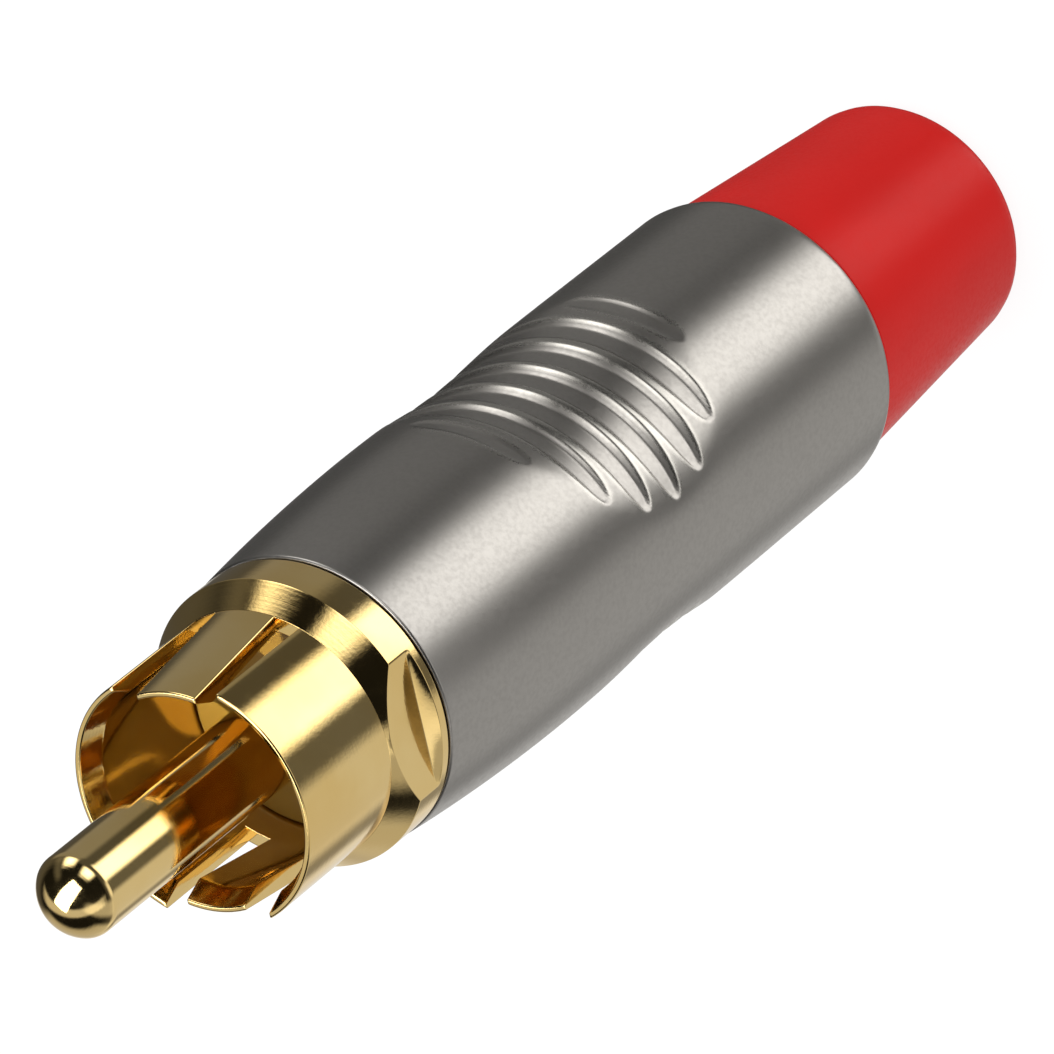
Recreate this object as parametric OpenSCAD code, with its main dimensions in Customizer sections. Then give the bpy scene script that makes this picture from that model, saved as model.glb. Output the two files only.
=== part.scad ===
// Screw-together RCA plug: slotted contact, ribbed metal shell, cable chuck and a coloured rear boot.
// It stands on the boot's end, with Z along its axis from the cable entry up to the pin's tip.
// The grips face +Y and -Y, and lengths are in millimetres.

/* [Centre pin] */
// Diameter of the pin
pin_d = 3.2; // [2.8:0.1:3.6]
// Length of the pin in front of the sleeve's rim
pin_reach = 8.05; // [6:0.05:11]
// Height of the pin's rounded tip
tip_l = 1.05; // [0.7:0.05:1.5]
// Diameter of the pin inside the insulator and at the solder cup
shank_d = 2.4; // [2:0.1:2.6]
// Length of the solder cup behind the insulator
cup_l = 4.5; // [3:0.1:6]
// Bore of the solder cup
cup_bore_d = 1.7; // [1.2:0.1:1.8]

/* [Sleeve] */
// Outer diameter of the sleeve
sleeve_d = 9.7; // [9.4:0.1:10.2]
// Wall of the sleeve
sleeve_wall = 0.55; // [0.4:0.05:0.7]
// Length of the sleeve in front of the collar
sleeve_l = 5.15; // [3.5:0.05:8]
// Width of each of the two spring tongues
tongue_w = 2.5; // [1.8:0.1:3.4]
// Width of the slots on both sides of a tongue
slot_w = 0.95; // [0.6:0.05:1.4]
// How far a tongue's tip is bent inwards
tongue_bend = 0.6; // [0.2:0.05:0.7]
// Length of the lead-in inside the rim of petals and tongues
lead_l = 0.9; // [0.4:0.1:1.4]
// Thickness left at that rim
rim_wall = 0.2; // [0.15:0.05:0.35]

/* [Collar and tail] */
// Depth of the collar below the shell's front edge
collar_step = 0.05; // [0:0.05:0.3]
// Length of the collar's straight land
collar_l = 1.6; // [1.2:0.1:3]
// Length of the cone between the land and the sleeve
cone_l = 0.95; // [0.6:0.05:1.5]
// Depth of the two wrench flats
flat_depth = 0.65; // [0.3:0.05:0.7]
// Band of the land left behind the flats
flats_band = 0.45; // [0.2:0.05:0.8]
// Angle at which the contact comes home in its thread
contact_turn = 15; // [0:1:45]
// Wall of the tail between its thread and the insulator
tail_wall = 1.22; // [1.1:0.02:1.3]
// Length of the thread
thread_l = 6; // [5:0.5:8]
// Chamfer at the thread's end
thread_chamfer = 0.4; // [0.2:0.05:0.6]

/* [Insulator] */
// Thickness of the insulator's front flange
flange_l = 0.9; // [0.6:0.1:1.4]
// Depth of the insulator's face behind the slots
recess_l = 1.3; // [0.6:0.1:1.6]

/* [Ground lug] */
// Thickness of the lug's sheet
lug_t = 0.5; // [0.3:0.05:0.7]
// Width of the lug's ring, measured along a radius
lug_ring_w = 0.7; // [0.5:0.05:0.8]
// Length of the lug's tongue
lug_l = 7; // [5:0.5:9]
// Angle that the curved tongue spans
lug_arc = 64; // [40:2:90]
// Length of the tail's spigot that is swaged over the ring
swage_l = 0.8; // [0.75:0.05:1.2]
// Wall of that spigot
swage_wall = 0.3; // [0.25:0.05:0.4]

/* [Shell] */
// Length of the shell
shell_l = 29.8; // [28:0.1:34]
// Diameter of the shell
shell_d = 12.3; // [12:0.1:13.5]
// Wall of the shell round the thread
shell_wall = 1.4; // [1.3:0.05:1.6]
// How much narrower the shell's front edge is
nose_drop = 1; // [0.6:0.1:1.2]
// Length of the nose's curve
nose_l = 10; // [6:0.5:12]
// Rounding of the shell's rear edge
shell_round = 0.5; // [0.2:0.05:0.7]
// Chamfer on the shell's front edges
shell_chamfer = 0.15; // [0.05:0.05:0.25]
// Step from the bore in to the throat below the chuck's seat
throat_step = 0.8; // [0.6:0.05:1]
// Length of the conical seat
seat_l = 5; // [3.5:0.5:6]

/* [Grip] */
// Number of grooves in each grip
groove_n = 7; // [3:1:7]
// Distance from groove to groove
groove_pitch = 1.75; // [1.7:0.05:2.1]
// Angle that a grip spans round the shell
grip_arc = 128; // [100:2:150]
// Depth of the scoop at its middle
grip_depth = 0.5; // [0.2:0.05:0.55]
// Depth of the middle groove below the scoop
groove_depth = 0.3; // [0.2:0.05:0.35]
// Width of the middle groove
groove_w = 1.45; // [1:0.05:1.5]
// Distance of the grip's middle behind the shell's middle
grip_back = 0.3; // [0:0.1:1]

/* [Boot] */
// Length of the boot behind the shell
boot_l = 11.9; // [8:0.1:16]
// Step from the shell in to the boot
boot_step = 0.3; // [0.2:0.05:0.6]
// How far the boot's side comes in towards its end
boot_taper = 0.85; // [0.5:0.05:1.2]
// Rounding of the boot's end
boot_round = 1; // [0.4:0.1:1.2]
// Wall of the boot's end round the cable hole
boot_wall = 1.75; // [1.5:0.05:2]
// Straight length of the cable hole
cable_hole_l = 7; // [4:0.5:8]
// Length of the spigot inside the shell
spigot_l = 4; // [3:0.1:5]
// Wall of the shell round the spigot
socket_wall = 1.62; // [1.4:0.02:1.8]
// Wall of the spigot
spigot_wall = 0.9; // [0.6:0.1:1]
// Height of the snap bead round the spigot
bead_h = 0.25; // [0.15:0.05:0.35]

/* [Chuck] */
// Wall of the chuck's ring
chuck_wall = 1.4; // [1.2:0.05:1.6]
// Length of the solid ring between skirt and fingers
chuck_ring_l = 3; // [2:0.5:5]
// Width of the slots between the fingers
finger_slot_w = 1; // [0.6:0.1:1.4]
// Number of gripping teeth along a finger
tooth_n = 4; // [2:1:5]
// Height of a tooth
tooth_h = 0.2; // [0.1:0.05:0.3]
// Distance from tooth to tooth
tooth_pitch = 1; // [0.8:0.1:1.2]

/* [Fits] */
// Radial clearance of the thread
thread_gap = 0.1; // [0.06:0.02:0.16]
// Gap between the collar and the shell's front edge
home_gap = 0.1; // [0.05:0.05:0.3]
// Clearance of pieces that are pushed together
push_gap = 0.03; // [0.01:0.01:0.05]
// Clearance round the chuck
chuck_gap = 0.15; // [0.1:0.05:0.25]

/* [Hidden] */
$fn = 96;
// Finer steps for arcs of a large radius
arc_fn = 720;
// Room by which a cutter passes a face
past = 1;
// Amount by which a groove's round end is fuller than the groove
end_relief = 0.04;
// Amount by which the boot's rounding passes the tapered side, so that they meet at an edge
round_slip = 0.001;

// Stations along the axis
shell_z0 = boot_l;
shell_z1 = shell_z0 + shell_l;
collar_z0 = shell_z1 + home_gap;
collar_z1 = collar_z0 + collar_l;
sleeve_z0 = collar_z1 + cone_l;
rim_z = sleeve_z0 + sleeve_l;
tip_z = rim_z + pin_reach;
face_z = sleeve_z0 - recess_l;
flange_z = face_z - flange_l;
tail_z = collar_z0 - thread_l;
lug_z0 = tail_z - lug_t;
spigot_z1 = shell_z0 + spigot_l;
throat_z = spigot_z1 + push_gap;
seat_z1 = throat_z + seat_l;
chuck_z0 = throat_z + chuck_gap;
chuck_z1 = lug_z0 - chuck_gap;
skirt_z0 = lug_z0 - lug_l - chuck_gap;
ring_z0 = skirt_z0 - chuck_ring_l;
grip_z = shell_z0 + shell_l / 2 - grip_back;

// Radii worked out from the sizes above, from the shell inwards
shell_r = shell_d / 2;
nose_r = shell_r - nose_drop / 2;
shell_bore_r = shell_r - shell_wall;
throat_r = shell_bore_r - throat_step;
socket_r = shell_r - socket_wall;
spigot_r = socket_r - push_gap;
boot_r = shell_r - boot_step;
boot_end_r = boot_r - boot_taper;
collar_r = nose_r - collar_step;
thread_r = shell_bore_r - thread_gap;
tail_bore_r = thread_r - tail_wall;
insulator_r = tail_bore_r - push_gap;
swage_r = tail_bore_r + swage_wall;
lug_r0 = swage_r + push_gap;
chuck_r = shell_bore_r - chuck_gap;
chuck_bore_r = chuck_r - chuck_wall;
skirt_r = swage_r + chuck_gap;
sleeve_r = sleeve_d / 2;
sleeve_bore_r = sleeve_r - sleeve_wall;

// The seat's cone, and the chuck's cone that lies inside it by the chuck's clearance
function seat_radius(z) = throat_r + (shell_bore_r - throat_r) * (z - throat_z) / seat_l;

// Radius of an arc from its chord's half length and its height
function arc_radius(half, height) = (half * half + height * height) / (2 * height);

// Grip: the scoop is the inside of a ring whose axis is set off to the far side of the shell
grip_half_l = (groove_n / 2 - 0.3) * groove_pitch;
grip_half_a = grip_arc / 2;
scoop_r = arc_radius(grip_half_l, grip_depth);
scoop_offset = grip_depth / (1 - cos(grip_half_a));
scoop_floor = shell_r - grip_depth + scoop_offset;
groove_r = arc_radius(groove_w / 2, groove_depth);

// How full the grip's oval is at a distance x from its middle, from 1 there down to 0 at its end
function grip_share(x) = sqrt(1 - pow(x / grip_half_l, 2));

// Half angle of the groove at x, seen from the scoop's own axis and short of the oval by its round end
function groove_angle(x, r, half_w) =
    let (a = grip_half_a * grip_share(x))
    a - asin(scoop_offset * sin(a) / r) - half_w / r * 180 / PI;

module groove(x) {
    depth = groove_depth * grip_share(x);
    half_w = sqrt(depth * (2 * groove_r - depth));
    path_r = scoop_floor + x * x / (2 * scoop_r) - depth + groove_r;
    half = groove_angle(x, path_r, half_w);
    translate([-scoop_offset, 0, grip_z + x]) {
        rotate([0, 0, -half])
            rotate_extrude(angle = 2 * half)
                translate([path_r, 0])
                    circle(groove_r);
        for (end = [-half, half])
            rotate([0, 0, end])
                translate([path_r, 0, 0])
                    sphere(groove_r + end_relief);
    }
}

// One grip, cut into the +X side: an oval scoop and the grooves that leave the ribs between them
module grip_cut() {
    translate([-scoop_offset, 0, grip_z])
        rotate_extrude()
            intersection() {
                translate([scoop_floor + scoop_r, 0])
                    circle(scoop_r, $fn = arc_fn);
                translate([scoop_floor - past, -grip_half_l - past])
                    square([2 * past + scoop_offset + grip_depth, 2 * (grip_half_l + past)]);
            }
    for (i = [0 : groove_n - 1])
        groove((i - (groove_n - 1) / 2) * groove_pitch);
}

module shell() {
    color("#b7b3ab")
        difference() {
            rotate_extrude()
                difference() {
                    shell_outline();
                    shell_bore_profile();
                }
            for (side = [90, 270])
                rotate([0, 0, side])
                    grip_cut();
        }
}

// The shell's outside: rounded rear edge, straight barrel and a nose that curves in to a chamfered front
module shell_outline() {
    nose_z = shell_z1 - nose_l;
    curve_r = arc_radius(nose_l, shell_r - nose_r);
    c = shell_chamfer;
    difference() {
        translate([0, shell_z0])
            square([shell_r, shell_l - nose_l]);
        corner_cut(shell_r, shell_z0, shell_round);
    }
    intersection() {
        polygon([
            [0, nose_z], [shell_r, nose_z], [nose_r + past, shell_z1 - c - past],
            [nose_r - c, shell_z1], [0, shell_z1]
        ]);
        translate([shell_r - curve_r, nose_z])
            circle(curve_r, $fn = arc_fn);
    }
}

// What rounding takes off the lower outer corner of an outline, at radius r and height z,
// where the side above leans out by an angle
module corner_cut(r, z, round_r, lean = 0) {
    reach = round_r + past;
    translate([r - round_r / tan(45 + lean / 2), z + round_r])
        difference() {
            polygon([[0, 0], [0, -reach], [reach, -reach], [reach * cos(lean), -reach * sin(lean)]]);
            circle(round_r);
        }
}

// The shell's inside, from the boot's socket past the throat and the seat to the thread
module shell_bore_profile() {
    c = shell_chamfer;
    polygon([
        [0, shell_z0 - past], [socket_r, shell_z0 - past], [socket_r, throat_z], [throat_r, throat_z],
        [shell_bore_r, seat_z1], [shell_bore_r, shell_z1 - c], [shell_bore_r + c + past, shell_z1 + past],
        [0, shell_z1 + past]
    ]);
    translate([socket_r, shell_z0 + spigot_l / 2])
        circle(bead_h);
}

module boot() {
    mouth_r = boot_end_r - boot_wall;
    color("#c8231e")
        rotate_extrude()
            difference() {
                union() {
                    boot_outline();
                    translate([0, shell_z0 - past])
                        square([spigot_r, spigot_l + past]);
                    translate([spigot_r, shell_z0 + spigot_l / 2])
                        circle(bead_h);
                }
                polygon([
                    [0, -past], [mouth_r, -past], [mouth_r, cable_hole_l],
                    [spigot_r - spigot_wall, shell_z0], [spigot_r - spigot_wall, spigot_z1 + past],
                    [0, spigot_z1 + past]
                ]);
            }
}

// Tapered outside of the boot with a rounded end
module boot_outline() {
    difference() {
        polygon([[0, 0], [boot_end_r, 0], [boot_r, shell_z0], [0, shell_z0]]);
        corner_cut(boot_end_r + round_slip, 0, boot_round, atan(boot_taper / shell_z0));
    }
}

module chuck() {
    color("#e9e6dc")
        difference() {
            rotate_extrude()
                chuck_profile();
            finger_slots();
            skirt_window();
        }
}

// Section of the chuck: thin skirt in front, solid ring, and fingers that follow the seat's cone
module chuck_profile() {
    tip_r = seat_radius(chuck_z0) - chuck_gap;
    polygon([
        [chuck_bore_r, chuck_z0], [tip_r, chuck_z0], [chuck_r, seat_z1], [chuck_r, chuck_z1],
        [skirt_r, chuck_z1], [skirt_r, skirt_z0], [chuck_bore_r, skirt_z0]
    ]);
    for (i = [1 : tooth_n])
        translate([chuck_bore_r, chuck_z0 + i * tooth_pitch])
            polygon([[-tooth_h, 0], [tooth_h, -2 * tooth_h], [tooth_h, 2 * tooth_h]]);
}

module finger_slots() {
    for (turn = [0, 90])
        rotate([0, 0, turn])
            translate([-chuck_r - past, -finger_slot_w / 2, chuck_z0 - past])
                cube([2 * (chuck_r + past), finger_slot_w, ring_z0 - chuck_z0 + past]);
}

// Opening in the skirt for the lug's tongue, which turns the chuck along with the contact
module skirt_window() {
    side_gap = chuck_gap / lug_r0 * 180 / PI;
    arc = lug_arc + 2 * side_gap;
    rotate([0, 0, contact_turn - arc / 2])
        rotate_extrude(angle = arc)
            translate([skirt_r - chuck_gap, skirt_z0])
                square([chuck_r - skirt_r + chuck_gap + past, chuck_z1 - skirt_z0 + past]);
}

module contact_sleeve() {
    reach = 2 * collar_r;
    tongue_box = [tongue_w, 2 * reach, sleeve_l + past];
    gap_box = [tongue_w + 2 * slot_w, 2 * reach, sleeve_l + past];
    color("#d9b04a")
        rotate([0, 0, contact_turn]) {
            difference() {
                rotate_extrude()
                    contact_profile();
                wrench_flats();
            }
            difference() {
                rotate_extrude()
                    petal_profile(0);
                translate([-gap_box.x / 2, -reach, sleeve_z0])
                    cube(gap_box);
            }
            intersection() {
                rotate_extrude()
                    petal_profile(tongue_bend);
                translate([-tongue_box.x / 2, -reach, sleeve_z0 - recess_l / 2])
                    cube(tongue_box + [0, 0, recess_l / 2]);
            }
        }
}

// Collar, cone, threaded tail and the thin spigot behind it
module contact_profile() {
    polygon([
        [tail_bore_r, tail_z - swage_l], [swage_r, tail_z - swage_l], [swage_r, tail_z],
        [thread_r - thread_chamfer, tail_z], [thread_r, tail_z + thread_chamfer], [thread_r, collar_z0],
        [collar_r, collar_z0], [collar_r, collar_z1], [sleeve_r, sleeve_z0],
        [sleeve_bore_r, sleeve_z0], [sleeve_bore_r, flange_z], [tail_bore_r, flange_z]
    ]);
}

// Wall of a petal or tongue, bent inwards towards its tip and thinned there on the inside
module petal_profile(bend) {
    root_z = sleeve_z0 - recess_l / 2;
    tip_r = sleeve_r - bend;
    polygon([
        [sleeve_bore_r, root_z], [sleeve_r, root_z], [sleeve_r, sleeve_z0], [tip_r, rim_z],
        [tip_r - rim_wall, rim_z], [tip_r - sleeve_wall, rim_z - lead_l], [sleeve_bore_r, sleeve_z0]
    ]);
}

module wrench_flats() {
    flat_z = collar_z0 + flats_band;
    for (side = [0, 180])
        rotate([0, 0, side])
            translate([collar_r - flat_depth, -collar_r, flat_z])
                cube([2 * collar_r, 2 * collar_r, sleeve_z0 - flat_z + past]);
}

module insulator() {
    color("#b07a3c")
        rotate_extrude()
            polygon([
                [shank_d / 2 + push_gap, tail_z - swage_l], [insulator_r, tail_z - swage_l],
                [insulator_r, flange_z + push_gap], [sleeve_bore_r - push_gap, flange_z + push_gap],
                [sleeve_bore_r - push_gap, face_z], [shank_d / 2 + push_gap, face_z]
            ]);
}

module centre_pin() {
    cup_z = tail_z - swage_l - cup_l;
    dome_z = tip_z - tip_l;
    dome_r = arc_radius(pin_d / 2, tip_l);
    color("#d9b04a")
        rotate([0, 0, contact_turn])
            difference() {
                union() {
                    translate([0, 0, cup_z])
                        cylinder(d = shank_d, h = face_z - cup_z + push_gap);
                    translate([0, 0, face_z + push_gap])
                        cylinder(d = pin_d, h = dome_z - face_z - push_gap);
                    translate([0, 0, dome_z])
                        rotate_extrude()
                            intersection() {
                                translate([0, tip_l - dome_r])
                                    circle(dome_r);
                                square([dome_r, tip_l]);
                            }
                }
                translate([0, 0, cup_z - past])
                    cylinder(d = cup_bore_d, h = cup_l + past);
                // Half of the cup's rear is open, so that a wire can be laid in and soldered
                translate([0, -shank_d, cup_z - past])
                    cube([shank_d, 2 * shank_d, cup_l / 2 + past]);
            }
}

module ground_lug() {
    color("#cfc9bb")
        rotate([0, 0, contact_turn]) {
            translate([0, 0, lug_z0])
                rotate_extrude()
                    translate([lug_r0, 0])
                        square([lug_ring_w, lug_t]);
            rotate([0, 0, -lug_arc / 2])
                rotate_extrude(angle = lug_arc)
                    translate([lug_r0, lug_z0 - lug_l])
                        square([lug_t, lug_l + lug_t]);
        }
}

shell();
boot();
chuck();
contact_sleeve();
insulator();
centre_pin();
ground_lug();
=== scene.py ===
import math

import bpy
import numpy as np
from mathutils import Matrix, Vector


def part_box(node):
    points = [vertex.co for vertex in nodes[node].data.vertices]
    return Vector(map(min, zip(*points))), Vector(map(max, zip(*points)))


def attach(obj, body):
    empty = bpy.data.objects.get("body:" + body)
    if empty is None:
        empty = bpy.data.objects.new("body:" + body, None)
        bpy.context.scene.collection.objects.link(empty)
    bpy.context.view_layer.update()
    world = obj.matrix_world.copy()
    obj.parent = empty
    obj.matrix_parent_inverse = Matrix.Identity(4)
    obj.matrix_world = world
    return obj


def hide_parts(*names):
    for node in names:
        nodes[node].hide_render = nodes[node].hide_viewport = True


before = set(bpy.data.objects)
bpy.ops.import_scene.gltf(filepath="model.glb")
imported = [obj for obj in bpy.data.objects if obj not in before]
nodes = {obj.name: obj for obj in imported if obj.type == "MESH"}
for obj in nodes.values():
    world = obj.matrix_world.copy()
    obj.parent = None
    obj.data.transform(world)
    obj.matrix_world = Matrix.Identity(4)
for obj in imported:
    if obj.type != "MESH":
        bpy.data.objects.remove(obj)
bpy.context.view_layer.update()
mm = 0.001
print("frame loaded:", ", ".join(sorted(nodes)))


# shapes are worked out in millimetres, and become metres when the mesh is made
straight = 0.99999                                     # cosine past which two sides count as one line


def roundedLoop(corners, steps=6, support=0.35):
    # closed outline: every corner (r, z, rounding) becomes an arc that touches both of its sides,
    # with one more point beside each arc so that shading stays flat on the sides
    corner = np.array(corners, float)
    sides = np.roll(corner[:, :2], -1, 0) - corner[:, :2]
    sides /= np.linalg.norm(sides, axis=1, keepdims=True)
    corner = corner[(sides * np.roll(sides, 1, 0)).sum(1) < straight]
    point, radius = corner[:, :2], corner[:, 2:]
    back = np.roll(point, 1, 0) - point
    ahead = np.roll(point, -1, 0) - point
    back /= np.linalg.norm(back, axis=1, keepdims=True)
    ahead /= np.linalg.norm(ahead, axis=1, keepdims=True)
    half = np.arccos(np.clip((back * ahead).sum(1, keepdims=True), -straight, straight)) / 2
    reach = radius / np.tan(half)
    middle = back + ahead
    middle /= np.linalg.norm(middle, axis=1, keepdims=True)
    centre = point + middle * radius / np.sin(half)
    turn = (np.pi - 2 * half)[:, None, :]
    share = np.linspace(0, 1, steps)[None, :, None]
    first = (point + back * reach - centre)[:, None, :]
    last = (point + ahead * reach - centre)[:, None, :]
    swing = np.sin((1 - share) * turn) * first + np.sin(share * turn) * last
    arc = centre[:, None, :] + swing / np.sin(turn)
    before = (point + back * (reach + support * radius))[:, None, :]
    after = (point + ahead * (reach + support * radius))[:, None, :]
    return np.concatenate([before, arc, after], 1).reshape(-1, 2)


def finerLoop(path, gap):
    # the same closed outline with its long sides cut into steps no longer than gap
    ahead = np.roll(path, -1, 0)
    count = np.maximum(1, np.ceil(np.linalg.norm(ahead - path, axis=1) / gap)).astype(int)
    side = np.repeat(np.arange(len(path)), count)
    step = np.arange(count.sum()) - np.repeat(np.cumsum(count) - count, count)
    share = (step / count[side])[:, None]
    return path[side] * (1 - share) + ahead[side] * share


def insetLoop(path, amount):
    # the outline moved inwards by amount, square to its own sides
    along = np.roll(path, -1, 0) - np.roll(path, 1, 0)
    along /= np.linalg.norm(along, axis=1, keepdims=True)
    area = (path[:, 0] * np.roll(path[:, 1], -1) - np.roll(path[:, 0], -1) * path[:, 1]).sum()
    inward = np.stack([-along[:, 1], along[:, 0]], 1) * np.sign(area)
    return path + inward * amount


def wholeTurn(columns):
    # angles once round the axis, as one row of a grid
    return np.linspace(0, 2 * np.pi, columns, endpoint=False)[None, :]


def inMillimetres(box):
    # a CAD node's lowest and highest corners
    return (np.array(corner) / mm for corner in box)


def roundAxis(radius, angle, height):
    # cylinder coordinates to x, y, z
    radius, angle, height = np.broadcast_arrays(radius, angle, height)
    return np.stack([radius * np.cos(angle), radius * np.sin(angle), height], -1)


def gridFaces(rows, cols, closeRows, closeCols):
    # quads between neighbours of a grid of rows x cols points, wrapped where it is closed
    i = np.arange(rows if closeRows else rows - 1)[:, None]
    j = np.arange(cols if closeCols else cols - 1)[None, :]
    up, right = (i + 1) % rows, (j + 1) % cols
    corners = [i * cols + j, i * cols + right, up * cols + right, up * cols + j]
    return np.stack(corners, -1).reshape(-1, 4)


def fanTriangles(block):
    # every face of a block cut into triangles from its first corner
    first = np.repeat(block[:, :1], block.shape[1] - 2, 1)
    return np.stack([first, block[:, 1:-1], block[:, 2:]], -1).reshape(-1, 3)


def outward(points, blocks):
    # a closed patch, with all its faces turned round if the volume inside them comes out negative
    triangles = np.concatenate([fanTriangles(block) for block in blocks])
    a, b, c = np.moveaxis(points[triangles], 1, 0)
    volume = (a * np.cross(b, c)).sum()
    return points, blocks if volume > 0 else [block[:, ::-1] for block in blocks]


def closedTurn(points):
    # a ring-shaped grid: rows follow a closed outline, columns go all the way round
    rows, cols = points.shape[:2]
    return outward(points.reshape(-1, 3), [gridFaces(rows, cols, True, True)])


def poleTurn(points):
    # a grid that starts and ends on the axis: its first and last rows are closed by a pole each
    rows, cols = points.shape[:2]
    ends = np.array([[0, 0, points[0, :, 2].mean()], [0, 0, points[-1, :, 2].mean()]])
    near = np.arange(cols)
    far = (near + 1) % cols
    last = (rows - 1) * cols
    top = np.stack([np.full(cols, rows * cols), far, near], 1)
    low = np.stack([np.full(cols, rows * cols + 1), near + last, far + last], 1)
    faces = [gridFaces(rows, cols, False, True), top, low]
    return outward(np.concatenate([points.reshape(-1, 3), ends]), faces)


def capEnds(points):
    # a strip of wall: rows follow a closed outline, and one flat face closes each end
    rows, cols = points.shape[:2]
    ring = np.arange(rows) * cols
    ends = np.stack([ring, (ring + cols - 1)[::-1]])
    return outward(points.reshape(-1, 3), [gridFaces(rows, cols, True, False), ends])


def meshOf(name, patches, material):
    # one mesh from patches of points and blocks of faces with the same number of corners
    first = np.cumsum([0] + [len(points) for points, blocks in patches])
    points = np.concatenate([points for points, blocks in patches]) * mm
    faces = [block + start for start, (spot, blocks) in zip(first, patches) for block in blocks]
    corners = np.concatenate([block.ravel() for block in faces]).astype(np.int32)
    sizes = np.concatenate([np.full(len(block), block.shape[1]) for block in faces])
    mesh = bpy.data.meshes.new(name)
    mesh.vertices.add(len(points))
    mesh.vertices.foreach_set("co", points.astype(np.float32).ravel())
    mesh.loops.add(len(corners))
    mesh.loops.foreach_set("vertex_index", corners)
    mesh.polygons.add(len(sizes))
    mesh.polygons.foreach_set("loop_start", (np.cumsum(sizes) - sizes).astype(np.int32))
    mesh.update(calc_edges=True)
    mesh.shade_smooth()
    mesh.materials.append(material)
    thing = bpy.data.objects.new(name, mesh)
    bpy.context.scene.collection.objects.link(thing)
    print("made", name, "with", len(sizes), "faces")
    return thing


def makePiece(name, patches, material, body, stands):
    piece = meshOf(name, patches, material)
    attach(piece, body)
    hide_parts(stands)
    return piece


def softMax(a, b, blend):
    # the larger of two, with a rounded change from one to the other
    return (a + b + np.sqrt((a - b) ** 2 + blend ** 2)) / 2


def turned(points, degrees):
    # points turned round the axis
    c, s = math.cos(math.radians(degrees)), math.sin(math.radians(degrees))
    return points @ np.array([[c, s, 0], [-s, c, 0], [0, 0, 1]])


class Shade:
    # one socket of a node tree; arithmetic on it adds Math nodes
    def __init__(self, tree, socket=None):
        self.tree, self.socket = tree, socket

    def node(self, kind, settings=None, values=None, out=0):
        made = self.tree.nodes.new(kind)
        for key, value in (settings or {}).items():
            setattr(made, key, value)
        for key, value in (values or {}).items():
            if isinstance(value, Shade):
                self.tree.links.new(value.socket, made.inputs[key])
            else:
                made.inputs[key].default_value = value
        return Shade(self.tree, made.outputs[out]) if made.outputs else self

    def math(self, operation, a, b=0.0):
        return self.node("ShaderNodeMath", {"operation": operation}, {0: a, 1: b})

    def __add__(self, other):
        return self.math("ADD", self, other)

    __radd__ = __add__

    def __mul__(self, other):
        return self.math("MULTIPLY", self, other)

    def __sub__(self, other):
        return self.math("SUBTRACT", self, other)


def startMaterial(name):
    material = bpy.data.materials.new(name)
    material.use_nodes = True
    material.node_tree.nodes.clear()
    return material, Shade(material.node_tree)


def finishMaterial(shade, values):
    shader = shade.node("ShaderNodeBsdfPrincipled", None, values)
    shade.node("ShaderNodeOutputMaterial", None, {"Surface": shader})


def noiseOf(shade, place, scale, detail=2.0, rough=0.5):
    return shade.node("ShaderNodeTexNoise", None,
                      {"Vector": place, "Scale": scale, "Detail": detail, "Roughness": rough})


def objectPlace(shade):
    # Object coordinates, the fourth output of the node
    return shade.node("ShaderNodeTexCoord", None, None, 3)


def bumpOf(shade, height, strength, depth):
    return shade.node("ShaderNodeBump", None, {"Strength": strength, "Distance": depth, "Height": height})


def stretched(shade, place, factors):
    return shade.node("ShaderNodeMapping", None, {"Vector": place, "Scale": factors})


def remap(shade, value, low, high, start, end):
    return shade.node("ShaderNodeMapRange", {"interpolation_type": "SMOOTHSTEP"},
                      {0: value, 1: low, 2: high, 3: start, 4: end})


def patchy(shade, noise, low=0.35, high=0.7):
    # the middle range of a noise, spread out from 0 to 1
    return remap(shade, noise, low, high, 0, 1)


def mixColours(shade, factor, first, second):
    return shade.node("ShaderNodeMix", {"data_type": "RGBA"}, {0: factor, 6: first, 7: second}, 2)


goldLook = dict(bright=(0.92, 0.69, 0.31, 1), deep=(0.87, 0.62, 0.24, 1), polish=0.08, smear=0.06,
                patchScale=260, smearScale=1400, ringSpread=60, ringScale=9000, grainScale=6500,
                lines=0.10, grain=1.1, depth=0.00002)


def goldPlate(name, look):
    # polished plating over a turned surface: warm patches, faint smears, fine lines square to the axis
    # and a grain
    material, shade = startMaterial(name)
    place = objectPlace(shade)
    patch = noiseOf(shade, place, look["patchScale"], 3)
    smear = noiseOf(shade, place, look["smearScale"], 4, 0.65)
    ringFactors = (look["ringSpread"], look["ringSpread"], look["ringScale"])
    rings = noiseOf(shade, stretched(shade, place, ringFactors), 1.0, 2)
    grain = noiseOf(shade, place, look["grainScale"], 3, 0.6)
    colour = mixColours(shade, patchy(shade, patch), look["bright"], look["deep"])
    rough = look["polish"] + patchy(shade, smear, 0.45, 0.75) * look["smear"]
    bump = bumpOf(shade, rings + grain * look["grain"], look["lines"], look["depth"])
    finishMaterial(shade, {"Base Color": colour, "Metallic": 1.0, "Roughness": rough, "Normal": bump})
    return material


# the crests' lighter colour is partly wear and partly a painted highlight along the rib crests
nickelLook = dict(light=(0.405, 0.39, 0.372, 1), dull=(0.375, 0.36, 0.343, 1),
                  wornAndSheen=(0.56, 0.545, 0.51, 1), rough=0.29, mottle=0.06, mottleScale=5000,
                  grain=0.12, grainScale=5200, depth=0.00001, wearAndSheenTint=0.6, wearPolish=0.08)


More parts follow.
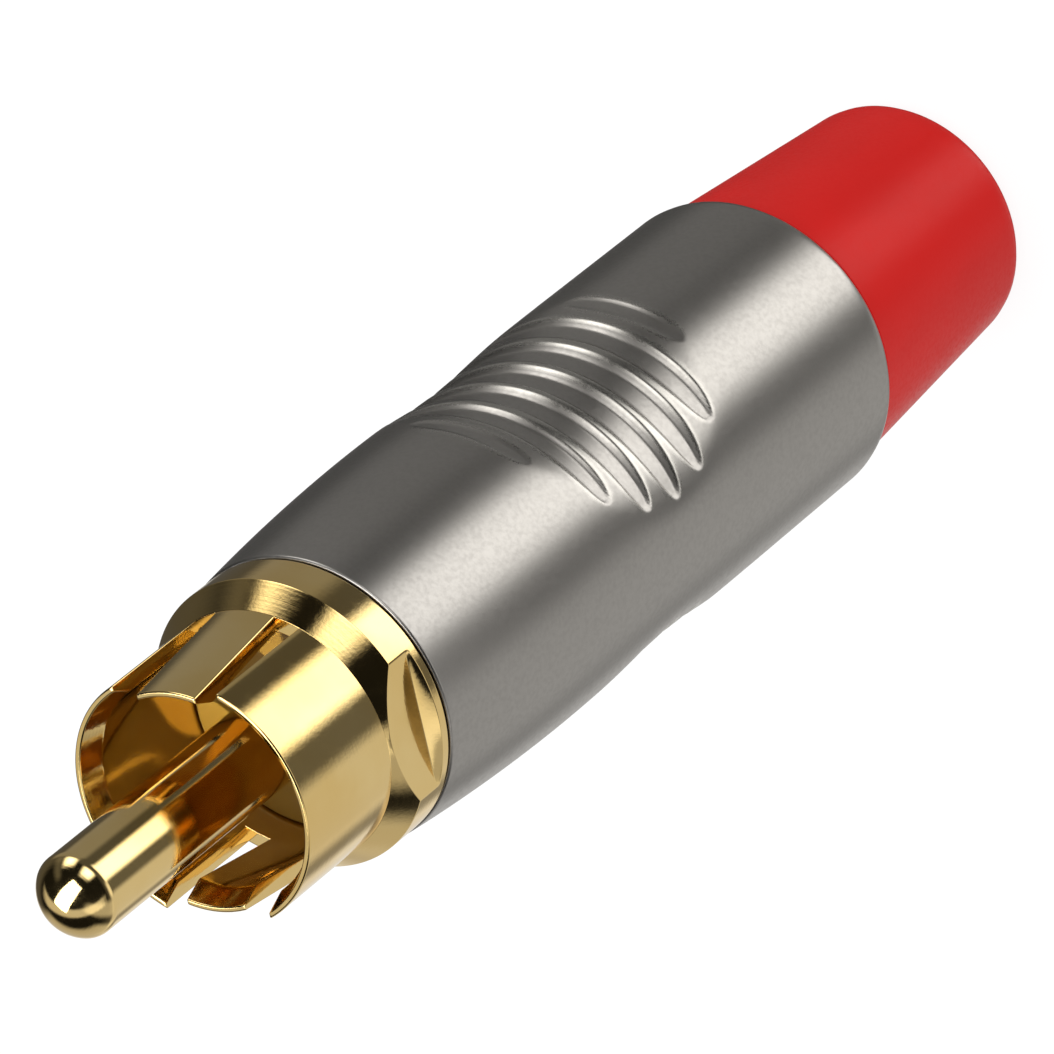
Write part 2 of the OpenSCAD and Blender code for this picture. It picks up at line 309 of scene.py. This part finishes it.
def satinNickel(look):
    # blasted and plated casting: a fine even grain, slightly duller in soft patches,
    # polished and lighter in colour on the rib crests, partly wear and partly a painted highlight
    material, shade = startMaterial("satinNickel")
    place = objectPlace(shade)
    mottle = noiseOf(shade, place, look["mottleScale"], 4, 0.6)
    grain = noiseOf(shade, place, look["grainScale"], 4, 0.7)
    wearAndSheen = shade.node("ShaderNodeAttribute", {"attribute_name": "wearAndSheen"}, None, 2)
    blasted = mixColours(shade, patchy(shade, mottle), look["light"], look["dull"])
    # lighter colour on the rib crests: partly polished wear, partly a painted highlight
    colour = mixColours(shade, wearAndSheen * look["wearAndSheenTint"], blasted, look["wornAndSheen"])
    rough = look["rough"] + patchy(shade, mottle, 0.3, 0.75) * look["mottle"] - wearAndSheen * look["wearPolish"]
    bump = bumpOf(shade, grain, look["grain"], look["depth"])
    finishMaterial(shade, {"Base Color": colour, "Metallic": 1.0, "Roughness": rough, "Normal": bump})
    return material


plasticLook = dict(flowScale=330, flowStretch=(1, 1, 0.4), pitDull=0.1, depth=0.00002)
redLook = dict(plasticLook, colour=(0.58, 0.007, 0.005, 1), shadow=(0.54, 0.006, 0.004, 1), rough=0.32,
               gloss=0.11, grainScale=5200, grain=0.15)
amberLook = dict(plasticLook, colour=(0.155, 0.088, 0.013, 1), shadow=(0.128, 0.068, 0.009, 1), rough=0.3,
                 gloss=0.2, grainScale=4800, grain=0.1)
paleLook = dict(plasticLook, colour=(0.80, 0.77, 0.70, 1), shadow=(0.74, 0.71, 0.64, 1), rough=0.36,
                gloss=0.5, grainScale=4200, grain=0.15)


def mouldedPlastic(name, look):
    # moulded plastic: slow change of tone from the melt's flow and a fine eroded grain
    material, shade = startMaterial(name)
    place = objectPlace(shade)
    flow = noiseOf(shade, stretched(shade, place, look["flowStretch"]), look["flowScale"], 3)
    pits = noiseOf(shade, place, look["grainScale"], 3, 0.6)
    tone = mixColours(shade, patchy(shade, flow), look["colour"], look["shadow"])
    dull = look["rough"] + patchy(shade, pits) * look["pitDull"]
    bump = bumpOf(shade, pits, look["grain"], look["depth"])
    finishMaterial(shade, {"Base Color": tone, "Roughness": dull, "Specular IOR Level": look["gloss"],
                           "Normal": bump})
    return material


tinLook = dict(light=(0.72, 0.70, 0.65, 1), dull=(0.60, 0.58, 0.54, 1), crystal=0.12, crystalScale=1100.0,
               hazeScale=2200, rough=0.26, haze=0.15, grain=0.15, depth=0.00002)


def tinnedSheet(look):
    # hot-tinned brass: dull bright metal with soft crystal patches
    material, shade = startMaterial("tinnedSheet")
    place = objectPlace(shade)
    patch = shade.node("ShaderNodeTexVoronoi", None, {"Vector": place, "Scale": look["crystalScale"]}, 1)
    haze = noiseOf(shade, place, look["hazeScale"], 3)
    colour = mixColours(shade, haze, look["light"], look["dull"])
    tone = mixColours(shade, look["crystal"], colour, patch)
    rough = look["rough"] + haze * look["haze"]
    bump = bumpOf(shade, haze, look["grain"], look["depth"])
    finishMaterial(shade, {"Base Color": tone, "Metallic": 1.0, "Roughness": rough, "Normal": bump})
    return material


goldSheet = goldPlate("goldSheet", goldLook)
goldTurned = goldPlate("goldTurned", dict(goldLook, lines=0.08, grain=0.5, ringScale=16000))
nickel = satinNickel(nickelLook)
redPlastic = mouldedPlastic("redPlastic", redLook)
amberPlastic = mouldedPlastic("amberPlastic", amberLook)
nodes["chuck"].material_slots[0].material = mouldedPlastic("palePlastic", paleLook)
nodes["ground_lug"].material_slots[0].material = tinnedSheet(tinLook)
print("materials ready")

shellLow, shellHigh = inMillimetres(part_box("shell"))
shell = dict(
    radius=min(shellHigh[0], shellHigh[1]), rear=shellLow[2], front=shellHigh[2],
    noseLength=10.0, noseDrop=0.5, boreRadius=4.75, throatRadius=3.95, throat=15.93, seat=20.93,
    socketRadius=4.53, outerWall=0.5,
    beadPlace=2.0, beadHeight=0.25, beadRound=0.2, rearRound=0.5, edgeRound=0.09, innerRound=0.05,
    lipRound=0.08, seatRound=0.3, chamfer=0.15,
    gripMiddle=26.5, gripArc=128.0, gripDepth=0.5, gripReach=6.6, gripMargin=0.3, scoopBlend=0.06,
    grooveCount=7, groovePitch=1.75, grooveDepth=0.24, flank=0.44, crest=0.05,
    tipReach=0.02, tipPower=5, tipLeast=1e-4, fadePower=0.6,
    arcSteps=5, noseRows=14, gripRows=150, rearRows=12, insideGap=3.0, columns=360,
)


def grooveDepth(away, s):
    # a groove's depth at a distance from its middle line: flat floor, S-shaped flanks and a narrow crest
    share = np.clip((s["groovePitch"] / 2 - s["crest"] - away) / s["flank"], 0, 1)
    return s["grooveDepth"] * share ** 2 * (3 - 2 * share)


def gripCut(s, angle, height):
    # depth of one finger grip: the inside of a large ring, set off its axis so that it leaves an oval,
    # plus grooves that grow narrow and shallow towards their ends, and shallow towards the grip's ends
    x = height - s["gripMiddle"]
    half = math.radians(s["gripArc"] / 2)
    halfLength = (s["grooveCount"] / 2 - s["gripMargin"]) * s["groovePitch"]
    ring = (halfLength ** 2 + s["gripDepth"] ** 2) / (2 * s["gripDepth"])
    offset = s["gripDepth"] / (1 - math.cos(half))
    dip = np.sqrt(ring ** 2 - np.minimum(x ** 2, ring ** 2 / 2))
    floor = s["radius"] - s["gripDepth"] + offset + ring - dip
    scoop = s["radius"] + offset * np.cos(angle) - np.sqrt(floor ** 2 - (offset * np.sin(angle)) ** 2)
    grooves = 0
    for middle in (np.arange(s["grooveCount"]) - (s["grooveCount"] - 1) / 2) * s["groovePitch"]:
        share = math.sqrt(1 - (middle / halfLength) ** 2)
        along = np.abs(angle) / (half * share + s["tipReach"])
        taper = np.clip(1 - along ** s["tipPower"], s["tipLeast"], 1)
        width = np.sqrt(share * taper)
        depth = share ** s["fadePower"] * width * grooveDepth(np.abs(x - middle) / width, s)
        grooves = np.maximum(grooves, depth)
    return scoop, grooves


def shellPoints(s):
    # a closed outline turned round the axis, then pressed in by the nose's curve and the two grips
    edge, inner = s["edgeRound"], s["innerRound"]
    bead = s["rear"] + s["beadPlace"]
    wide, tall = s["socketRadius"] + s["beadHeight"], s["beadHeight"]
    outline = roundedLoop([
        (s["radius"], s["front"], edge), (s["radius"], s["rear"], s["rearRound"]),
        (s["socketRadius"], s["rear"], edge), (s["socketRadius"], bead - tall, inner),
        (wide, bead, s["beadRound"]), (s["socketRadius"], bead + tall, inner),
        (s["socketRadius"], s["throat"], inner), (s["throatRadius"], s["throat"], s["lipRound"]),
        (s["boreRadius"], s["seat"], s["seatRound"]),
        (s["boreRadius"], s["front"] - s["chamfer"], s["lipRound"]),
        (s["boreRadius"] + s["chamfer"], s["front"], inner),
    ], s["arcSteps"])
    cut = s["arcSteps"] + 1                             # the first corner's last point
    grip = s["gripMiddle"] + np.array([s["gripReach"], -s["gripReach"]])
    rows = np.concatenate([np.linspace(outline[cut, 1], grip[0], s["noseRows"])[1:],
                           np.linspace(*grip, s["gripRows"])[1:],
                           np.linspace(grip[1], outline[cut + 1, 1], s["rearRows"])[1:-1]])
    side = np.stack([np.full(len(rows), s["radius"]), rows], 1)
    inside = finerLoop(outline, s["insideGap"])
    first = np.flatnonzero((inside == outline[cut]).all(1))[0]
    last = np.flatnonzero((inside == outline[cut + 1]).all(1))[0]
    outline = np.concatenate([inside[:first + 1], side, inside[last:]])
    angle = wholeTurn(s["columns"])
    radius, height = outline[:, :1], outline[:, 1:]
    share = np.clip((height - s["front"] + s["noseLength"]) / s["noseLength"], 0, 1)
    outside = radius > s["boreRadius"] + s["outerWall"]
    drop = np.where(outside, s["noseDrop"] * share ** 2, 0) + 0 * angle
    for side in (90, 270):
        away = (angle - math.radians(side) + np.pi) % (2 * np.pi) - np.pi
        scoop, grooves = gripCut(s, away, height)
        near = outside & (np.abs(height - s["gripMiddle"]) < s["gripReach"]) & (np.abs(away) < np.pi / 2)
        drop = np.where(near, softMax(scoop, drop, s["scoopBlend"]) + grooves, drop)
    return roundAxis(radius - drop, angle, height), drop, outside


shellGrid, shellDrop, shellOutside = shellPoints(shell)
shellBody = makePiece("shellBody", [closedTurn(shellGrid)], nickel, "housing", "shell")

# wear and painted sheen: how far a point stands out from its neighbours along the shell, brightest on the
# rib crests, where the metal's lighter colour is partly polish and partly a painted highlight
wearAndSheenLook = dict(rows=3, full=0.06, reach=6.0)
around = (np.roll(shellDrop, wearAndSheenLook["rows"], 0) + np.roll(shellDrop, -wearAndSheenLook["rows"], 0)) / 2
onGrip = shellOutside & (np.abs(shellGrid[..., 2] - shell["gripMiddle"]) < wearAndSheenLook["reach"])
wearAndSheen = np.where(onGrip, np.clip((around - shellDrop) / wearAndSheenLook["full"], 0, 1), 0).astype(np.float32)
shellBody.data.attributes.new("wearAndSheen", "FLOAT", "POINT").data.foreach_set("value", wearAndSheen.ravel())


bootHigh = np.array(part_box("boot")[1]) / mm
boot = dict(
    length=shell["rear"], end=bootHigh[2], frontRadius=5.85, endRadius=5.0, endRound=1.0, edgeRound=0.14,
    holeRadius=3.25, holeLength=7.0, holeRound=0.25, spigotRadius=4.5, spigotRound=0.2, spigotBore=3.6,
    boreRound=0.15, stepRound=0.3, beadHeight=0.25, beadRound=0.2, innerRound=0.05,
    rowGap=0.8, columns=256,
)


def bootPoints(b):
    # one closed outline turned round the axis: rounded end, tapered side, spigot with bead, cable hole
    inner, tall = b["innerRound"], b["beadHeight"]
    bead = (b["length"] + b["end"]) / 2
    outline = finerLoop(roundedLoop([
        (b["holeRadius"], 0, b["holeRound"]), (b["endRadius"], 0, b["endRound"]),
        (b["frontRadius"], b["length"], b["edgeRound"]), (b["spigotRadius"], b["length"], inner),
        (b["spigotRadius"], bead - tall, inner), (b["spigotRadius"] + tall, bead, b["beadRound"]),
        (b["spigotRadius"], bead + tall, inner), (b["spigotRadius"], b["end"], b["spigotRound"]),
        (b["spigotBore"], b["end"], b["boreRound"]), (b["spigotBore"], b["length"], b["stepRound"]),
        (b["holeRadius"], b["holeLength"], b["stepRound"]),
    ]), b["rowGap"])
    return roundAxis(outline[:, :1], wholeTurn(b["columns"]), outline[:, 1:])


makePiece("bootBody", [closedTurn(bootPoints(boot))], redPlastic, "housing", "boot")


# the contact: collar with wrench flats, threaded tail, two petals and two spring tongues
contactLow, contactHigh = inMillimetres(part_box("contact_sleeve"))
contact = dict(
    home=15.0, rim=contactHigh[2], tailEnd=contactLow[2],
    collarRadius=5.6, collarRear=41.8, collarFront=43.4, sleeveStart=44.35, sleeveRadius=4.85,
    boreRadius=4.3, flatPlane=4.95, flatRear=42.25, boreFloor=42.15, tailBore=3.43,
    swageRadius=3.73, tail=35.8,
    threadRadius=4.65, threadPitch=0.75, threadDepth=0.3, threadChamfer=0.4, threadRun=0.5,
    threadBand=0.45,
    rimWall=0.2, leadLength=0.9, tongueHalf=1.25, slotHalf=2.2, tongueBend=0.6, wall=0.55, root=43.7,
    edgeRound=0.07, sideRound=0.05, softRound=0.05, rootRound=0.03, swageRound=0.1, chamferRound=0.08,
    bendRound=0.5, leadRound=0.3, slack=0.02, leastAngle=0.03, leastCosine=0.05,
    collarGap=0.09, wallGap=0.25, flatColumns=20, roundColumns=34, wallColumns=60,
)


def collarPoints(c):
    # an outline turned round the axis, with two flats: a column of points follows each flat's edge,
    # so that the radius is the smaller of the outline's and the plane's, plane distance / cos(angle)
    edge, soft, root = c["edgeRound"], c["softRound"], c["rootRound"]
    outline = roundedLoop([
        (c["threadRadius"], c["collarRear"], soft), (c["collarRadius"], c["collarRear"], edge),
        (c["collarRadius"], c["collarFront"], edge), (c["sleeveRadius"], c["sleeveStart"], root),
        (c["boreRadius"], c["sleeveStart"], root), (c["boreRadius"], c["boreFloor"], soft),
        (c["tailBore"], c["boreFloor"], soft), (c["tailBore"], c["tailEnd"], soft),
        (c["swageRadius"], c["tailEnd"], c["swageRound"]), (c["swageRadius"], c["tail"], soft),
        (c["threadRadius"] - c["threadChamfer"], c["tail"], soft),
        (c["threadRadius"], c["tail"] + c["threadChamfer"], c["chamferRound"]),
    ])
    outline = finerLoop(outline, c["collarGap"])
    radius, height = outline[:, :1], outline[:, 1:]
    onLand = (radius > c["sleeveRadius"] - c["slack"]) & (height > c["flatRear"])
    edgeAngle = np.arccos(np.clip(c["flatPlane"] / np.maximum(radius, c["flatPlane"]), 0, 1))
    edgeAngle = np.where(onLand, np.maximum(edgeAngle, c["leastAngle"]),
                         math.acos(c["flatPlane"] / c["collarRadius"]))
    # columns are close together on both sides of a flat's edge
    flatShare = np.concatenate([np.linspace(0, 1, c["flatColumns"], endpoint=False), [0.985, 1.0]])
    roundShare = np.concatenate([[0.01], np.linspace(0, 1, c["roundColumns"])[1:]])
    quarter = np.concatenate([edgeAngle * flatShare, edgeAngle + (np.pi / 2 - edgeAngle) * roundShare], 1)
    angle = np.concatenate([quarter, np.pi - quarter[:, -2::-1], np.pi + quarter[:, 1:],
                            2 * np.pi - quarter[:, -2:0:-1]], 1)
    plane = c["flatPlane"] / np.maximum(np.abs(np.cos(angle)), c["leastCosine"])
    cut = np.where(onLand, np.minimum(radius, plane), radius)
    # thread: a rounded groove that climbs one pitch in a turn and runs out before the collar
    turns = height / c["threadPitch"] - angle / (2 * np.pi)
    groove = np.clip(1.25 * np.abs(2 * (turns % 1) - 1) - 0.2, 0, 1)
    onThread = np.abs(radius - c["threadRadius"]) < c["threadBand"]
    onThread = onThread & (height < c["collarRear"] - c["slack"]) & (height > c["tail"] + c["slack"])
    fade = np.clip((c["collarRear"] - c["threadRun"] - height) / c["threadRun"], 0, 1)
    floor = np.minimum(cut, c["threadRadius"] - c["threadDepth"] * groove * fade)
    return roundAxis(np.where(onThread, floor, cut), angle, height)


def wallPoints(c, bend, middle, halfAngle):
    # a piece of the sleeve's wall: its outline in the r-z plane is carried round the axis from side to
    # side, and halfAngle(r) makes the sides flat; the end columns are drawn in for a rounded edge
    tip = c["sleeveRadius"] - bend
    edge, root = c["edgeRound"], c["rootRound"]
    outline = roundedLoop([
        (c["boreRadius"], c["root"], root), (c["sleeveRadius"], c["root"], root),
        (c["sleeveRadius"], c["sleeveStart"], c["bendRound"]), (tip, c["rim"], edge),
        (tip - c["rimWall"], c["rim"], edge),
        (tip - c["wall"], c["rim"] - c["leadLength"], c["leadRound"]),
        (c["boreRadius"], c["sleeveStart"], c["bendRound"]),
    ])
    outline = finerLoop(outline, c["wallGap"])
    drawn = insetLoop(outline, c["sideRound"])
    columns = c["wallColumns"]
    share = np.concatenate([[-1, -1, -1], np.linspace(-1, 1, columns), [1, 1, 1]])[None, :]
    lean = np.radians([0, 30, 60] + [90] * columns + [60, 30, 0])[None, :]    # a quarter round each
    radius = outline[:, :1] + (drawn - outline)[:, :1] * (1 - np.sin(lean))
    height = outline[:, 1:] + (drawn - outline)[:, 1:] * (1 - np.sin(lean))
    reach = halfAngle(radius) - c["sideRound"] * (1 - np.cos(lean)) / radius
    return roundAxis(radius, middle + share * reach, height)


def tongueAngle(radius):
    return np.arcsin(contact["tongueHalf"] / radius)


def petalAngle(radius):
    return np.arccos(contact["slotHalf"] / radius)


sleevePatches = [closedTurn(collarPoints(contact))]
for middle in (0, np.pi):
    sleevePatches.append(capEnds(wallPoints(contact, 0, middle, petalAngle)))
    tongue = wallPoints(contact, contact["tongueBend"], middle + np.pi / 2, tongueAngle)
    sleevePatches.append(capEnds(tongue))
sleevePatches = [(turned(p, contact["home"]), f) for p, f in sleevePatches]
makePiece("contactSleeve", sleevePatches, goldSheet, "contact", "contact_sleeve")


pinLow, pinHigh = inMillimetres(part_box("centre_pin"))
pin = dict(
    radius=1.6, tip=pinHigh[2], tipHeight=1.05, shoulder=0.7, seat=43.08, shankRadius=1.2,
    cupEnd=pinLow[2], cupDepth=4.5, cupBore=0.85, openLength=2.25, cutStart=2.2, cutEdge=0.05,
    edge=0.06, lip=0.05, fillet=0.04, gap=0.1, sideMiddle=50.0, poleAngle=0.02,
    domeRows=28, shoulderRows=10, columns=180,
)


def pinPoints(p):
    # turned outline from the tip to the bottom of the solder cup: a shallow dome passes into the side
    # by a shoulder, an arc inside the dome's that touches both; half of the cup's wall is cut back
    dome = (p["radius"] ** 2 + p["tipHeight"] ** 2) / (2 * p["tipHeight"])
    middle = p["tip"] - dome
    lean = math.asin((p["radius"] - p["shoulder"]) / (dome - p["shoulder"]))
    low = middle + (dome - p["shoulder"]) * math.cos(lean)
    rise = np.linspace(p["poleAngle"], lean, p["domeRows"])
    bend = np.linspace(lean, np.pi / 2, p["shoulderRows"])[1:]
    top = np.stack([dome * np.sin(rise), middle + dome * np.cos(rise)], 1)
    turnIn = np.stack([p["radius"] + p["shoulder"] * (np.sin(bend) - 1),
                       low + p["shoulder"] * np.cos(bend)], 1)
    bottom = p["cupEnd"] + p["cupDepth"]
    cutTop = bottom - p["cutStart"]
    wide, shank, bore = p["radius"], p["shankRadius"], p["cupBore"]
    seat, cupEnd, edge = p["seat"], p["cupEnd"], p["edge"]
    lip, fillet, gap = p["lip"], p["fillet"], p["gap"]
    side = np.array([
        (wide, low - gap), (wide, p["sideMiddle"]), (wide, seat + 2 * edge), (wide, seat + edge),
        (wide - edge, seat), (wide - 2 * edge, seat), (shank + fillet, seat), (shank, seat - fillet),
        (shank, seat - gap), (shank, bottom), (shank, cutTop), (shank, cupEnd + edge),
        (shank - lip, cupEnd), (bore + lip, cupEnd), (bore, cupEnd + edge), (bore, cutTop),
        (bore, bottom - edge), (bore - edge, bottom), (gap, bottom),
    ])
    outline = np.concatenate([top, turnIn, side])
    angle = wholeTurn(p["columns"])
    radius, height = outline[:, :1], outline[:, 1:]
    cutBack = np.clip(0.5 + np.cos(angle) / p["cutEdge"], 0, 1) * p["openLength"]
    share = np.clip((cutTop - height) / (cutTop - cupEnd), 0, 1)
    return roundAxis(radius, angle, height + cutBack * share)


pinSpots, pinFaces = poleTurn(pinPoints(pin))
makePiece("centrePin", [(turned(pinSpots, contact["home"]), pinFaces)], goldTurned, "contact",
          "centre_pin")


insulatorLow, insulatorHigh = inMillimetres(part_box("insulator"))
insulator = dict(face=insulatorHigh[2], rear=insulatorLow[2], flangeRadius=4.27, flangeRear=42.18,
                 radius=3.4, holeRadius=1.23, edgeRound=0.14, softRound=0.05, rearRound=0.1, rowGap=0.6,
                 columns=128)


def insulatorPoints(i):
    # turned outline: a wide flange in front with a rounded edge, and the plain body behind it
    soft, rear = i["softRound"], i["rearRound"]
    outline = finerLoop(roundedLoop([
        (i["holeRadius"], i["face"], soft), (i["flangeRadius"], i["face"], i["edgeRound"]),
        (i["flangeRadius"], i["flangeRear"], soft), (i["radius"], i["flangeRear"], soft),
        (i["radius"], i["rear"], rear), (i["holeRadius"], i["rear"], rear),
    ]), i["rowGap"])
    return roundAxis(outline[:, :1], wholeTurn(i["columns"]), outline[:, 1:])


makePiece("insulatorBody", [closedTurn(insulatorPoints(insulator))], amberPlastic, "contact",
          "insulator")


# the camera sees the plug as the photograph does: lamps and screens are placed from its azimuth
camera = dict(azimuth=49.0, elevation=47.0, roll=-129.03, distance=0.32472,
              aim=(-0.00007, 0.000061, 0.027641), lens=307.4, sensor=36.0, near=0.01, far=20.0)

floorLook = dict(size=3000.0, glow=0.93, colour=(0.07, 0.07, 0.07, 1), rough=0.75, speck=0.1,
                 speckScale=40)


def paleFloor(look):
    # a light table: most of its white comes from below, so that shadows on it stay faint
    material, shade = startMaterial("paleFloor")
    speck = noiseOf(shade, objectPlace(shade), look["speckScale"], 2)
    rough = look["rough"] + speck * look["speck"]
    finishMaterial(shade, {"Base Color": look["colour"], "Roughness": rough,
                           "Emission Color": (1, 1, 1, 1), "Emission Strength": look["glow"]})
    corner = np.array([[-1, -1, 0], [1, -1, 0], [1, 1, 0], [-1, 1, 0]], float) * look["size"]
    floor = meshOf("floor", [(corner, [np.array([[0, 1, 2, 3]])])], material)
    floor.visible_glossy = False                        # the metal mirrors the screens, not the floor


paleFloor(floorLook)

tent = dict(radius=1000.0, low=0.085, high=0.01, dimFrom=-5, dimTo=15, soft=8.0, tint=(1, 0.985, 0.95),
            rows=24, columns=48, poleGap=0.02)
screens = dict(           # azimuth from the camera's, elevation, half width, half height, brightness
    key=(6.5, -58, 22, 38, 2.3),
    right=(-84, -48, 34, 36, 0.56),
    rightFar=(-128, -48, 14, 36, 0.2),
    rightGap=(-34, -47, 16, 34, 0.05),
    noseFill=(-34, -18, 16, 9, 0.9),
    left=(90, -47, 31, 34, 0.17),
    low=(25, 20, 13, 13, 3.0),
    side=(74, 4, 11, 15, 3.2),
    rightTall=(-74, 22, 17, 36, 0.45),
    backRight=(-148, -2, 36, 19, 0.45),
    backLow=(-165, -42, 26, 20, 0.70),
    leftFaint=(99, 18, 8, 24, 0.10),
)
# a band of light round this axis
hoop = dict(azimuth=50, elevation=30, halfWidth=9, edge=0.4, bright=0.6, riseFrom=0.2, riseTo=0.5)


def direction(azimuth, elevation):
    a, e = math.radians(azimuth), math.radians(elevation)
    return np.array([math.cos(e) * math.cos(a), math.cos(e) * math.sin(a), math.sin(e)])


def alongAxis(shade, spot, axis):
    # how far a direction goes along an axis
    return shade.node("ShaderNodeVectorMath", {"operation": "DOT_PRODUCT"}, {0: spot, 1: axis}, 1)


def softStep(shade, value, edge, soft):
    # 1 inside an edge and 0 outside it, with a soft change between
    return remap(shade, value, edge - soft, edge + soft, 1, 0)


def reflectionTent(look, panels, band, turn):
    # a sphere that only mirrors see: a dim studio with screens, each a soft-edged box of azimuth and
    # elevation, and half a hoop of light behind the plug
    down = np.linspace(look["poleGap"], np.pi - look["poleGap"], look["rows"])[:, None]
    points = roundAxis(look["radius"] * np.sin(down), wholeTurn(look["columns"]),
                       look["radius"] * np.cos(down))
    material, shade = startMaterial("tentCloth")
    spot = shade.node("ShaderNodeVectorMath", {"operation": "NORMALIZE"}, {0: objectPlace(shade)})
    height = shade.node("ShaderNodeSeparateXYZ", None, {0: spot}, 2)
    rise = shade.math("ARCSINE", height)
    glow = remap(shade, rise, math.radians(look["dimFrom"]), math.radians(look["dimTo"]),
                 look["low"], look["high"])
    soft = math.radians(look["soft"])
    for azimuth, elevation, width, tall, bright in panels.values():
        a = math.radians(azimuth + turn)
        ahead = alongAxis(shade, spot, (math.cos(a), math.sin(a), 0))
        beside = alongAxis(shade, spot, (-math.sin(a), math.cos(a), 0))
        aside = shade.math("ABSOLUTE", shade.math("ARCTAN2", beside, ahead))
        off = shade.math("ABSOLUTE", rise - math.radians(elevation))
        across = softStep(shade, aside, math.radians(width), soft)
        upward = softStep(shade, off, math.radians(tall), soft)
        glow = glow + across * upward * bright
    axis = tuple(direction(band["azimuth"] + turn, band["elevation"]))
    off = shade.math("ABSOLUTE", alongAxis(shade, spot, axis))
    wide = math.sin(math.radians(band["halfWidth"]))
    hooped = remap(shade, off, wide * (1 - band["edge"]), wide * (1 + band["edge"]), band["bright"], 0)
    glow = glow + hooped * remap(shade, height, band["riseFrom"], band["riseTo"], 0, 1)
    lit = shade.node("ShaderNodeVectorMath", {"operation": "SCALE"}, {0: look["tint"], "Scale": glow})
    cloth = shade.node("ShaderNodeEmission", None, {"Color": lit, "Strength": 1.0})
    shade.node("ShaderNodeOutputMaterial", None, {"Surface": cloth})
    sphere = meshOf("reflectionTent", [poleTurn(points)], material)
    sphere.visible_camera = sphere.visible_diffuse = sphere.visible_shadow = False
    sphere.visible_transmission = sphere.visible_volume_scatter = False


reflectionTent(tent, screens, hoop, camera["azimuth"])


def facing(azimuth, elevation, roll, place):
    # matrix of a lamp or camera at a place, turned so that it looks back along a direction
    back = direction(azimuth, elevation)
    across = np.array([-math.sin(math.radians(azimuth)), math.cos(math.radians(azimuth)), 0])
    upward = np.cross(back, across)
    c, s = math.cos(math.radians(roll)), math.sin(math.radians(roll))
    matrix = np.eye(4)
    matrix[:3, 0], matrix[:3, 1] = across * c + upward * s, upward * c - across * s
    matrix[:3, 2], matrix[:3, 3] = back, place
    return Matrix(matrix.tolist())


def addLamp(name, kind, look):
    # a lamp that looks at a point of the plug's axis from a distance
    lamp = bpy.data.lights.new(name, kind)
    lamp.energy = look["power"]
    lampObject = bpy.data.objects.new(name, lamp)
    bpy.context.scene.collection.objects.link(lampObject)
    azimuth = look["azimuth"] + camera["azimuth"]
    place = direction(azimuth, look["elevation"]) * look["distance"] + np.array([0, 0, look["aim"]])
    lampObject.matrix_world = facing(azimuth, look["elevation"], 0, place)
    return lamp, lampObject


softBox = dict(azimuth=105, elevation=78, distance=0.5, aim=0.035, width=0.68, height=0.29, power=2.83968)
panel, panelObject = addLamp("overheadSoftBox", "AREA", softBox)
panel.shape = "RECTANGLE"
panel.size, panel.size_y = softBox["width"], softBox["height"]
panelObject.visible_camera = False

# a snooted lamp, whose narrow beam only reaches into the sleeve's mouth
snoot = dict(azimuth=-70, elevation=50, distance=0.5, aim=0.046, spread=1.5, soft=0.6, size=0.012,
             power=190)
beam, beamObject = addLamp("snootBeam", "SPOT", snoot)
beam.spot_size, beam.spot_blend = math.radians(snoot["spread"]), snoot["soft"]
beam.shadow_soft_size = snoot["size"]
beamObject.visible_glossy = False

sky = dict(colour=(1, 1, 1, 1), strength=0.85)
world = bpy.data.worlds.new("studio")
world.use_nodes = True
background = world.node_tree.nodes["Background"]
background.inputs["Color"].default_value = sky["colour"]
background.inputs["Strength"].default_value = sky["strength"]
bpy.context.scene.world = world

eye = np.array(camera["aim"]) + direction(camera["azimuth"], camera["elevation"]) * camera["distance"]
lens = bpy.data.cameras.new("photoCamera")
lens.lens, lens.sensor_width = camera["lens"], camera["sensor"]
lens.clip_start, lens.clip_end = camera["near"], camera["far"]
cameraObject = bpy.data.objects.new("photoCamera", lens)
bpy.context.scene.collection.objects.link(cameraObject)
cameraObject.matrix_world = facing(camera["azimuth"], camera["elevation"], camera["roll"], eye)
bpy.context.scene.camera = cameraObject
bpy.context.scene.view_settings.view_transform = "Standard"
print("camera and light ready")
